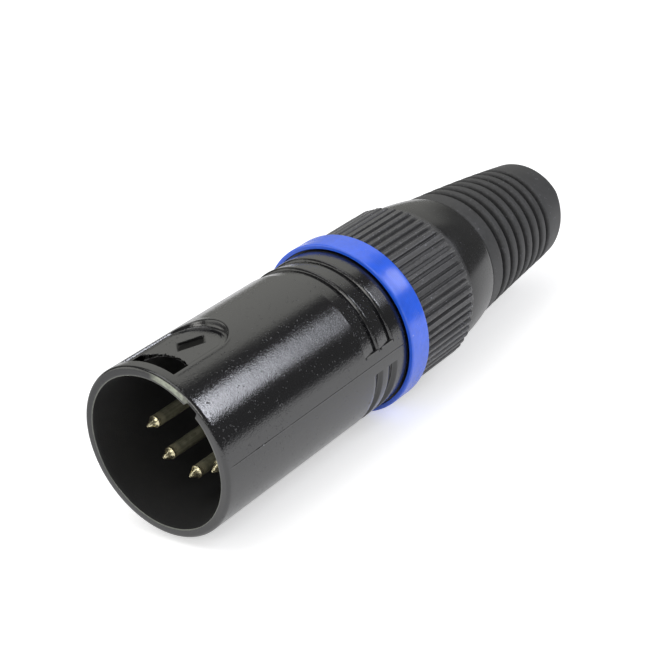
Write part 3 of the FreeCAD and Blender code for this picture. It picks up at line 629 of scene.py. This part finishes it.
class Web:
    """Nodes of one tree, added and joined by short calls."""

    def __init__(self, tree):
        self.tree = tree

    def give(self, socket, value):
        """Joins a socket to another one, or sets it to a plain value."""
        if isinstance(value, bpy.types.NodeSocket):
            self.tree.links.new(value, socket)
        else:
            socket.default_value = value

    def add(self, kind, inputs=(), **settings):
        """A node with its settings and inputs, in order or by name or number."""
        node = self.tree.nodes.new("ShaderNode" + kind)
        for key, value in settings.items():
            setattr(node, key, value)
        for key, value in inputs.items() if isinstance(inputs, dict) else enumerate(inputs):
            self.give(node.inputs[key], value)
        return node

    def maths(self, operation, *values, clamp=False):
        """The result of a Math node."""
        return self.add("Math", values, operation=operation, use_clamp=clamp).outputs[0]

    times = partialmethod(maths, "MULTIPLY")
    plus = partialmethod(maths, "ADD")
    less = partialmethod(maths, "SUBTRACT")
    larger = partialmethod(maths, "MAXIMUM")

    def span(self, value, low, high, first=0, last=1):
        """A value's range from low to high carried to first to last, and held there."""
        return self.add("MapRange", (value, low, high, first, last)).outputs[0]

    def blend(self, share, first, second):
        """A colour between two others, by the colour sockets of a Mix node."""
        return self.add("Mix", {0: share, 6: first, 7: second}, data_type="RGBA").outputs[2]

    def noise(self, vector, scale, detail):
        """Noise of a scale in waves per metre."""
        return self.add("TexNoise", {"Vector": vector, "Scale": scale, "Detail": detail}).outputs[0]

    def parts(self, vector):
        """The outputs X, Y and Z of a vector."""
        return self.add("SeparateXYZ", (vector,)).outputs

    def dot(self, vector, direction):
        """A vector's length along a direction."""
        return self.add("VectorMath", (vector, direction), operation="DOT_PRODUCT").outputs["Value"]

    def radius(self, where):
        """A place's distance from the plug's axis."""
        flat = self.add("VectorMath", (where, (0, 1, 1)), operation="MULTIPLY").outputs[0]
        return self.add("VectorMath", (flat,), operation="LENGTH").outputs["Value"]

    def stored(self, name):
        """A number stored on the mesh."""
        return self.add("Attribute", attribute_name=name).outputs["Fac"]

    def effect(self, name, vector, **values):
        """The output of a shared effect, whose group is built when it is first asked for."""
        tree = bpy.data.node_groups.get(name) or EFFECTS[name]()
        return self.add("Group", {"Vector": vector, **values}, node_tree=tree).outputs[0]

    def bump(self, height, distance, under=None):
        """The normal of a height field of a given depth in metres, over another normal."""
        inputs = {"Height": height, "Distance": distance}
        if under:
            inputs["Normal"] = under
        return self.add("Bump", inputs).outputs[0]

    def rays(self):
        """1 for the camera's rays, straight or through glass, for glossy and for diffuse ones."""
        rays = self.add("LightPath").outputs
        seen = self.larger(rays["Is Camera Ray"], rays["Is Transmission Ray"])
        return seen, rays["Is Glossy Ray"], rays["Is Diffuse Ray"]


def effect_group(name, inputs, output):
    """The web, inputs and result of an empty group that takes a vector and numbers."""
    tree = bpy.data.node_groups.new(name, "ShaderNodeTree")
    tree.interface.new_socket(name="Vector", in_out="INPUT", socket_type="NodeSocketVector")
    for label in inputs:
        tree.interface.new_socket(name=label, in_out="INPUT", socket_type="NodeSocketFloat")
    tree.interface.new_socket(name=output, in_out="OUTPUT", socket_type="NodeSocketFloat")
    given = tree.nodes.new("NodeGroupInput").outputs
    return Web(tree), given, tree.nodes.new("NodeGroupOutput").inputs[output]


def speckle_group():
    """Small scattered spots: noise above a threshold, in patches set by a broader noise."""
    web, given, result = effect_group("Speckle", ("Spots", "Threshold"), "Mask")
    fine = web.noise(given["Vector"], given["Spots"], 2)
    broad = web.noise(given["Vector"], 260, 1)
    over = web.less(web.plus(fine, web.times(broad, 0.25)), web.plus(given["Threshold"], 0.125))
    web.give(result, web.times(over, 22, clamp=True))
    return web.tree


def skin_group():
    """Height of sprayed or moulded skin: a fine noise and a broad one, mixed."""
    web, given, result = effect_group("Skin Waves", ("Fine", "Broad", "Share"), "Height")
    fine = web.times(web.noise(given["Vector"], given["Fine"], 1), given["Share"])
    broad = web.noise(given["Vector"], given["Broad"], 2)
    web.give(result, web.plus(fine, web.times(broad, web.less(1, given["Share"]))))
    return web.tree


def lines_group():
    """Brushed or drawn lines that run along the plug: noise stretched forty times along X."""
    web, given, result = effect_group("Drawn Lines", ("Lines",), "Value")
    stretched = web.add("Mapping", {"Vector": given["Vector"], "Scale": (0.025, 1, 1)})
    web.give(result, web.noise(stretched.outputs[0], given["Lines"], 3))
    return web.tree


def rub_group():
    """Rubbed edges: the mesh's own edge measure, broken up by noise."""
    web, given, result = effect_group("Rubbed Edges", ("Edge", "Start", "Grain"), "Mask")
    grain = web.less(web.noise(given["Vector"], given["Grain"], 3), 0.5)
    level = web.plus(given["Edge"], web.times(grain, 1.1))
    web.give(result, web.times(web.less(level, given["Start"]), 2.5, clamp=True))
    return web.tree


EFFECTS = {"Speckle": speckle_group, "Skin Waves": skin_group, "Drawn Lines": lines_group,
           "Rubbed Edges": rub_group}


# Finishes

def new_finish(name, **constants):
    """A node material whose Principled shader has its plain sockets set."""
    material = bpy.data.materials.new(name)
    material.use_nodes = True
    web = Web(material.node_tree)
    shader = web.tree.nodes["Principled BSDF"]
    join(web, shader, **constants)
    return material, web, shader, web.add("TexCoord").outputs["Object"]


def join(web, shader, **sources):
    """A shader's inputs of the same names joined to sockets or set to plain values."""
    for key, value in sources.items():
        web.give(shader.inputs[key.replace("_", " ")], value)


def tinted(colour, gain):
    """A colour made brighter or darker."""
    return [min(1, channel * gain) for channel in colour[:3]] + [1]


def lacquer_finish(colour):
    """Sprayed black lacquer over die-cast metal.

    Fine orange peel, dust nibs, edges rubbed thin, a dull thin coat in the bore, metal worn through
    on an arc of the rim, a painted highlight along the rim's inner lip, and painted shade in the
    recess and on the window's walls, black and metallic so that it reflects little.
    """
    rubbed, thin_coat = (0.22, 0.22, 0.2, 1), (0.012, 0.012, 0.013, 1)
    # These colours also paint light and shade: the worn-through metal paints a highlight on the rim's inner
    # lip, and the black paints shade in the recess and on the window's walls.
    bare_metal_and_highlight, painted_shade_black = (0.4, 0.43, 0.34, 1), (0.006, 0.006, 0.006, 1)
    material, web, shader, where = new_finish("lacquered_shell", IOR=1.8)
    broad = web.effect("Skin Waves", where, Fine=900, Broad=230, Share=0.35)
    peel = web.effect("Skin Waves", where, Fine=9000, Broad=4200, Share=0.6)
    nibs = web.effect("Speckle", where, Spots=4200, Threshold=0.675)
    rub = web.effect("Rubbed Edges", where, Edge=web.stored("edge"), Start=0.62, Grain=1500)
    scuff = web.noise(where, 2300, 4)
    shaded_hollow = web.stored("shaded_hollow")

    station = web.parts(where)["X"]
    radius = web.radius(where)
    inside = web.times(web.span(radius, 0.0085, 0.00856, 1, 0), web.span(station, 0.00002, 0.0001))
    face = web.span(station, 0.00003, 0.00008, 1, 0)
    upper_arc = web.span(web.maths("DIVIDE", web.dot(where, (0, -0.43, 0.9)), radius), 0.955, 0.985)
    band = web.times(web.span(radius, 0.00868, 0.00878), web.times(upper_arc, face))
    # Painted highlight: a thin pale line round the rim's inner lip.
    lip = web.times(web.span(radius, 0.00853, 0.0086, 1, 0), face)
    bare_and_lip_highlight = web.times(web.larger(band, web.times(lip, 0.3)), web.span(scuff, 0.4, 0.6, 0.6, 1))

    shade = web.blend(web.times(nibs, 0.1), colour, tinted(colour, 5))
    shade = web.blend(web.times(rub, 0.6), shade, rubbed)
    shade = web.blend(inside, shade, thin_coat)
    # Worn-through metal on the rim's upper arc, and the painted highlight on its inner lip.
    shade = web.blend(bare_and_lip_highlight, shade, bare_metal_and_highlight)
    # Painted shade: the recess and the window's walls turn black here and metallic at the shader, so they
    # reflect little and look dark.
    shade = web.blend(shaded_hollow, shade, painted_shade_black)
    rough = web.plus(web.span(peel, 0.3, 0.7, 0.07, 0.13), web.times(nibs, 0.35))
    rough = web.larger(rough, web.times(web.larger(inside, bare_and_lip_highlight), 0.6))
    normal = web.bump(nibs, 0.8e-5, web.bump(peel, 1.95e-5, web.bump(broad, 8e-6)))
    join(web, shader, Base_Color=shade, Roughness=rough, Metallic=shaded_hollow, Normal=normal)
    return material


def ring_finish(colour):
    """Glossy blue plastic: very fine turned rings, a few pale marks and a painted shadow at its foot."""
    worn_edge, pale_mark = (0.16, 0.3, 0.95, 1), (0.55, 0.62, 0.9, 1)
    painted_shadow_foot = (0.003, 0.004, 0.01, 1)
    material, web, shader, where = new_finish("blue_coding_ring", IOR=1.8)
    radius = web.radius(where)
    section = web.add("CombineXYZ", (web.parts(where)["X"], radius)).outputs[0]
    rings = web.noise(section, 5200, 2)
    cloud = web.effect("Skin Waves", where, Fine=1500, Broad=240, Share=0.4)
    marks = web.effect("Speckle", where, Spots=2600, Threshold=0.74)
    shade = web.blend(web.span(cloud, 0.3, 0.7), tinted(colour, 0.86), tinted(colour, 1.12))
    shade = web.blend(web.times(web.stored("edge"), 0.25, clamp=True), shade, worn_edge)
    shade = web.blend(web.times(marks, 0.25), shade, pale_mark)
    # Painted shadow: near black inside the ring's lip, in the gap next to the shell's shoulder.
    shade = web.blend(web.span(radius, RING_FOOT * MM, RING_LIP * MM), painted_shadow_foot, shade)
    normal = web.bump(cloud, 4e-6, web.bump(rings, 4e-6))
    join(web, shader, Base_Color=shade, Roughness=web.span(rings, 0.3, 0.7, 0.15, 0.24), Normal=normal)
    return material


def moulded_finish(name, colour, rough, grain, depth, dusty=0.3, rubbed=0.4, polished_from=1):
    """Moulded black plastic or rubber: a grained skin, pale dust and edges polished by handling.

    Behind the station polished_from, in metres, the skin is darker and glossy.
    """
    pale_dust = (0.3, 0.3, 0.34, 1)
    material, web, shader, where = new_finish(name, IOR=1.48)
    skin = web.effect("Skin Waves", where, Fine=grain, Broad=grain / 9, Share=0.6)
    dust = web.effect("Speckle", where, Spots=grain * 1.1, Threshold=0.68)
    rub = web.effect("Rubbed Edges", where, Edge=web.stored("edge"), Start=0.5, Grain=grain)
    polish = web.span(web.parts(where)["X"], polished_from - 0.0003, polished_from + 0.0003)
    shade = web.blend(web.span(skin, 0.3, 0.7), tinted(colour, 0.8), tinted(colour, 1.25))
    shade = web.blend(web.times(dust, dusty), shade, pale_dust)
    shade = web.blend(web.times(rub, rubbed), shade, tinted(colour, 3.2))
    shade = web.blend(web.times(polish, 0.8), shade, tinted(colour, 0.12))
    level = web.less(web.span(skin, 0.3, 0.7, rough - 0.05, rough + 0.08), web.times(rub, 0.12))
    level = web.less(level, web.times(polish, rough - 0.2))
    height = web.times(skin, web.span(polish, 0, 1, 1, 0.3))
    join(web, shader, Base_Color=shade, Roughness=level, Normal=web.bump(height, depth))
    return material


def contact_finish(colour):
    """Drawn contact metal: pale at the worn tip, olive tarnish and drawn lines along the shaft."""
    dark_olive, olive = (0.2, 0.195, 0.13, 1), (0.36, 0.35, 0.25, 1)
    line_shade, mark_shade = (0.1, 0.095, 0.07, 1), (0.12, 0.11, 0.09, 1)
    material, web, shader, where = new_finish("contact_plating")
    lines = web.effect("Drawn Lines", where, Lines=5200)
    cloud = web.effect("Skin Waves", where, Fine=1700, Broad=420, Share=0.5)
    marks = web.effect("Speckle", where, Spots=4200, Threshold=0.66)
    worn = web.span(web.parts(where)["X"], 0.0049, 0.0062, 1, 0)
    shade = web.blend(web.span(cloud, 0.35, 0.65), dark_olive, olive)
    shade = web.blend(web.span(lines, 0.35, 0.65, 0, 0.6), shade, line_shade)
    shade = web.blend(worn, shade, colour)
    shade = web.blend(web.times(marks, 0.5), shade, mark_shade)
    rough = web.less(web.span(lines, 0.3, 0.7, 0.34, 0.5), web.times(worn, 0.14))
    metal = web.span(worn, 0, 1, 0.35, 1)
    join(web, shader, Base_Color=shade, Roughness=rough, Metallic=metal, Normal=web.bump(lines, 3e-6))
    return material


# Stage

CAMERA_PLACE = Vector((-0.0965, -0.1081, 0.0755))
CAMERA_RIGHT, CAMERA_UP = Vector((0.6032, -0.7860, -0.1354)), Vector((0.4015, 0.1526, 0.9031))
MIDDLE, MOUTH_SIDE = Vector((0.025, 0, 0)), Vector((0.005, -0.0075, 0.006))
UPWARDS, SLANTED = Vector((0, 0, 1)), Vector((0, 0.66, 0.75))
WHITE, WARM_WHITE, COOL_WHITE = (1, 1, 1), (1, 0.99, 0.95), (0.9, 0.92, 1)


def floor_finish(colour):
    """Pale matt floor that glows for the camera's rays and less for glossy ones.

    Glossy rays see it dim far beyond the plug, and darker on the plug's hidden side.
    """
    material, web, shader, where = new_finish("pale_floor", IOR=1.3)
    grain = web.effect("Skin Waves", where, Fine=900, Broad=60, Share=0.5)
    shade = web.blend(web.span(grain, 0.3, 0.7), tinted(colour, 0.985), colour)
    seen, glossy = web.rays()[:2]
    glow = web.plus(web.times(seen, 0.5), web.times(glossy, 0.32))
    join(web, shader, Base_Color=shade, Roughness=web.span(grain, 0.3, 0.7, 0.85, 0.95),
         Emission_Color=(*WHITE, 1), Emission_Strength=glow)
    beyond = web.span(web.dot(where, (0.69, -0.72, 0)), 0.11, 0.15)
    parts = web.parts(where)
    hidden = web.times(web.span(parts["Y"], 0.012, 0.03, 0, 0.42), web.span(parts["X"], 0.06, 0.08, 1, 0))
    share = web.times(web.larger(beyond, hidden), glossy)
    dim = web.add("Emission", {"Strength": 0.14})
    mix = web.add("MixShader", (share, shader.outputs[0], dim.outputs[0]))
    web.give(web.tree.nodes["Material Output"].inputs["Surface"], mix.outputs[0])
    return material


def put_floor(reach, colour):
    """The floor: one square under the plug."""
    low = CAD_BOX[0][2]
    corners = [(x * reach, y * reach, low) for x, y in ((-1, -1), (1, -1), (1, 1), (-1, 1))]
    mesh = bpy.data.meshes.new("floor")
    mesh.from_pydata(corners, [], [(0, 1, 2, 3)])
    mesh.materials.append(floor_finish(colour))
    new_object("floor", mesh)


def studio_world():
    """White for the camera, even light for diffuse rays, and a dim room for glossy ones.

    The room has a pale wall behind the plug and a low bright band ahead of its mouth.
    """
    world = bpy.data.worlds.new("studio")
    world.use_nodes = True
    web = Web(world.node_tree)
    seen, glossy, diffuse = web.rays()
    parts = web.parts(web.add("TexCoord").outputs["Generated"])
    behind = web.times(web.span(parts["Y"], -0.1, -0.02), web.span(parts["X"], 0.15, 0.4))
    behind = web.times(behind, web.span(parts["X"], 0.84, 0.93, 1, 0))
    wall = web.times(behind, web.span(parts["Z"], 0, 0.7, 0.18, 0.84))
    ahead = web.times(web.span(parts["X"], -0.3, -0.2, 1.2, 0), web.span(parts["Y"], 0.1, 0.3))
    low_band = web.times(web.span(parts["Z"], 0, 0.06), web.span(parts["Z"], 0.5, 0.6, 1, 0))
    room = web.plus(web.plus(wall, web.times(ahead, low_band)), 0.13)
    level = web.plus(web.times(glossy, room), web.plus(seen, web.times(diffuse, 0.58)))
    tone = web.blend(glossy, (1, 1, 1, 1), (1, 1, 0.94, 1))
    join(web, web.tree.nodes["Background"], Color=tone, Strength=level)
    return world


def softbox(name, direction, distance, size, radiance, colour, aim=MIDDLE, up=UPWARDS):
    """A rectangular lamp of a given radiance that faces a point of the plug from a direction."""
    lamp = bpy.data.lights.new(name, "AREA")
    lamp.shape = "RECTANGLE"
    lamp.size, lamp.size_y = size
    lamp.energy = radiance * math.pi * size[0] * size[1]
    lamp.color = colour
    direction = Vector(direction).normalized()
    side = up.cross(direction).normalized()
    place_in_scene(name, lamp, aim + direction * distance, side, direction.cross(side))


def place_in_scene(name, data, place, right, up):
    """An object at a place, turned so that its own X and Y point right and up."""
    holder = new_object(name, data)
    turn = Matrix((right, up, right.cross(up))).transposed().to_4x4()
    holder.matrix_world = Matrix.Translation(place) @ turn
    return holder


# Settings

def length_setting(name, description, default):
    """A length in metres."""
    return bpy.props.FloatProperty(name=name, description=description, default=default, min=0,
                                   unit="LENGTH", precision=5)


def colour_setting(name, description, default):
    """A colour with its opacity."""
    return bpy.props.FloatVectorProperty(name=name, description=description, default=default,
                                         subtype="COLOR", size=4, min=0, max=1)


class PlugSizes(bpy.types.PropertyGroup):
    """Sizes that shape the plug's looks."""
    flutes: bpy.props.IntProperty(name="Flutes", description="Ridges round the nut", default=60, min=12)
    droop: length_setting("Droop", "How far the bend relief sags 20 mm behind its root", 0.0011)
    floor_reach: length_setting("Floor reach", "Half the width of the floor", 6)


class PlugColours(bpy.types.PropertyGroup):
    """Colours of the plug and of the floor."""
    lacquer: colour_setting("Lacquer", "Shell", (0.008, 0.008, 0.0095, 1))
    ring: colour_setting("Ring", "Coding ring", (0.018, 0.125, 0.88, 1))
    nut: colour_setting("Nut", "Clamp nut", (0.068, 0.068, 0.07, 1))
    boot: colour_setting("Bend relief", "Rubber bend relief", (0.05, 0.05, 0.0515, 1))
    contact: colour_setting("Contacts", "Worn tips of the contacts", (0.82, 0.75, 0.5, 1))
    insert: colour_setting("Carrier", "Contact carrier", (0.012, 0.012, 0.013, 1))
    floor: colour_setting("Floor", "Floor", (0.86, 0.86, 0.86, 1))


# Operators

class PLUG_OT_stage(bpy.types.Operator):
    """Builds the floor, the studio light and the camera."""
    bl_idname = "plug.stage"
    bl_label = "Stage"

    def execute(self, context):
        scene = context.scene
        scene.view_settings.view_transform = "Standard"
        put_floor(scene.plug_sizes.floor_reach, scene.plug_colours.floor)
        scene.world = studio_world()

        tilt = {"aim": MOUTH_SIDE, "up": SLANTED}
        softbox("key_softbox", (0.567, -0.574, 0.574), 0.5, (0.085, 0.2), 9.6, COOL_WHITE, **tilt)
        softbox("side_softbox", (0.735, -0.49, 0.47), 0.5, (0.1, 0.17), 1, COOL_WHITE, **tilt)
        softbox("top_softbox", (-0.25, 0.15, 1), 0.8, (0.6, 0.5), 1.6, WHITE)
        softbox("front_softbox", (-0.85, -0.2, 0.45), 0.6, (0.3, 0.3), 2.6, WARM_WHITE)

        lens = bpy.data.cameras.new("camera")
        lens.lens, lens.sensor_width, lens.clip_start = 91.8, 36, 0.005
        scene.camera = place_in_scene("camera", lens, CAMERA_PLACE, CAMERA_RIGHT, CAMERA_UP)
        return {"FINISHED"}


class PLUG_OT_shell(bpy.types.Operator):
    """Builds the lacquered shell with its window, grips, key groove and neck.

    The recess and the window's walls are stored as the attribute named hollow.
    """
    bl_idname = "plug.shell"
    bl_label = "Shell"

    def execute(self, context):
        surface = shell_surface()
        piece = put_in_scene("lacquered_shell", surface, "shell_body", "shell",
                             lacquer_finish(context.scene.plug_colours.lacquer), 0.35)
        along, side, height = surface[0].T
        # The recess and the window's walls, where the lacquer paints shade in black.
        recess = field_height(along, side)[2] * (height > MOUTH)
        wall = (along > FIELD_FRONT - 0.05) & (along < BEHIND_WINDOW) & (np.abs(side) < WINDOW_HALF + 0.1)
        wall &= (np.hypot(side, height) > MOUTH + 0.01) & (height > 0) & (height < BORDER - 0.02)
        store(piece, "shaded_hollow", np.maximum(recess, wall))
        return {"FINISHED"}


class PLUG_OT_ring(bpy.types.Operator):
    """Builds the blue coding ring."""
    bl_idname = "plug.ring"
    bl_label = "Coding ring"

    def execute(self, context):
        put_in_scene("blue_ring", ring_surface(), "shell_body", "coding_ring",
                     ring_finish(context.scene.plug_colours.ring), 0.25)
        return {"FINISHED"}


class PLUG_OT_nut(bpy.types.Operator):
    """Builds the fluted clamp nut with its collar."""
    bl_idname = "plug.nut"
    bl_label = "Clamp nut"

    def execute(self, context):
        finish = moulded_finish("satin_nut", context.scene.plug_colours.nut, 0.4, 4200, 7e-6,
                                dusty=0.9, rubbed=0.35, polished_from=0.0437)
        put_in_scene("fluted_nut", nut_surface(context.scene.plug_sizes.flutes), "nut_body",
                     "clamp_nut", finish)
        return {"FINISHED"}


class PLUG_OT_bend_relief(bpy.types.Operator):
    """Builds the ribbed rubber bend relief."""
    bl_idname = "plug.bend_relief"
    bl_label = "Bend relief"

    def execute(self, context):
        finish = moulded_finish("matt_rubber", context.scene.plug_colours.boot, 0.55, 2600, 9e-6,
                                dusty=0.2, rubbed=0.35)
        put_in_scene("ribbed_bend_relief", boot_surface(context.scene.plug_sizes.droop), "nut_body",
                     "bend_relief_boot", finish, sharp=60)
        return {"FINISHED"}


class PLUG_OT_contacts(bpy.types.Operator):
    """Builds the five contact pins, 45 degrees apart, and plates the ground strip."""
    bl_idname = "plug.contacts"
    bl_label = "Contacts"

    def execute(self, context):
        finish = contact_finish(context.scene.plug_colours.contact)
        for number in range(1, 6):
            put_in_scene("plated_pin_%d" % number, pin_surface(math.radians(45 + 45 * number)),
                         "shell_body", "contact_pin_%d" % number, finish)
        dress("ground_contact", finish)
        return {"FINISHED"}


class PLUG_OT_inner_pieces(bpy.types.Operator):
    """Gives the contact carrier and the cable chuck their moulded finishes."""
    bl_idname = "plug.inner_pieces"
    bl_label = "Carrier and chuck"

    def execute(self, context):
        colours = context.scene.plug_colours
        dress("contact_insert", moulded_finish("moulded_carrier", colours.insert, 0.5, 3000, 4e-6))
        dress("cable_chuck", moulded_finish("moulded_chuck", colours.nut, 0.4, 2800, 4e-6))
        return {"FINISHED"}


class PLUG_PT_panel(bpy.types.Panel):
    """Lists the settings and the steps that build the plug."""
    bl_label = "Cable Plug"
    bl_space_type = "VIEW_3D"
    bl_region_type = "UI"
    bl_category = "Cable Plug"

    def draw(self, context):
        for settings in (context.scene.plug_sizes, context.scene.plug_colours):
            for key in settings.__annotations__:
                self.layout.prop(settings, key)
        for step in STEPS:
            self.layout.operator(step.bl_idname)


STEPS = (PLUG_OT_stage, PLUG_OT_shell, PLUG_OT_ring, PLUG_OT_nut, PLUG_OT_bend_relief,
         PLUG_OT_contacts, PLUG_OT_inner_pieces)
CLASSES = (PlugSizes, PlugColours, *STEPS, PLUG_PT_panel)


def register():
    """Registers the classes and puts the settings on the scene."""
    for kind in CLASSES:
        bpy.utils.register_class(kind)
    bpy.types.Scene.plug_sizes = bpy.props.PointerProperty(type=PlugSizes)
    bpy.types.Scene.plug_colours = bpy.props.PointerProperty(type=PlugColours)


def unregister():
    """Takes the settings and the classes away again."""
    del bpy.types.Scene.plug_sizes
    del bpy.types.Scene.plug_colours
    for kind in reversed(CLASSES):
        bpy.utils.unregister_class(kind)


def main():
    """Builds every piece in order."""
    register()
    for step in STEPS:
        group, name = step.bl_idname.split(".")
        getattr(getattr(bpy.ops, group), name)()


if __name__ == "__main__":
    main()
